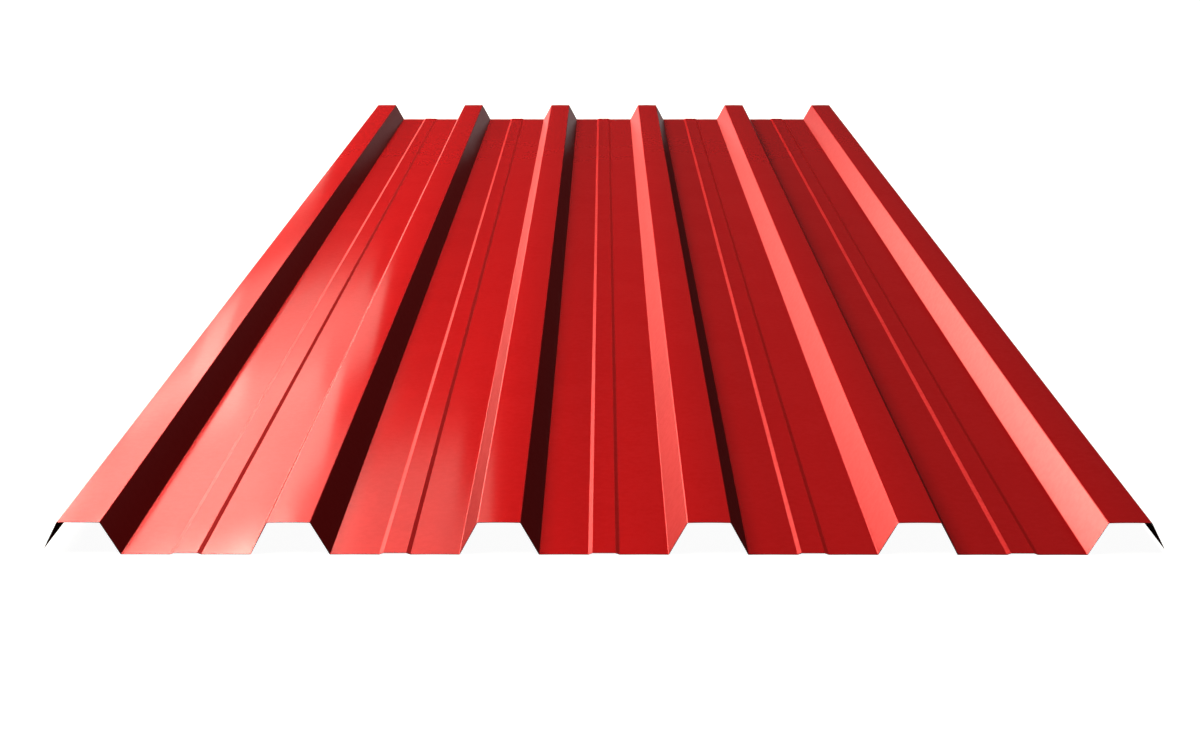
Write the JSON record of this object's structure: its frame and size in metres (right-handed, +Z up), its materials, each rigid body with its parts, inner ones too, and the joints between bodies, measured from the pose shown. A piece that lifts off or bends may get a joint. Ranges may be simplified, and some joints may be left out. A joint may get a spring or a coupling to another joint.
{
  "type": "corrugated metal sheet",
  "caption": "Trapezoidal profiled steel roofing and cladding sheet, painted, with flat pans between square ribs, a shallow stiffener in each pan and short outer flanges for side laps.",
  "frame": {"origin": "centre of the sheet's footprint, on the surface that its pans lie on", "axes": "+X across the ribs, +Y along the ribs, +Z up from the pans to the crowns"},
  "size_m": [1.0696, 2.5, 0.0335],
  "materials": {
    "red_paint": "semi-gloss polyester coil coating"
  },
  "bodies": {
    "root": {"profiled_sheet": "red_paint"}
  },
  "joints": []
}
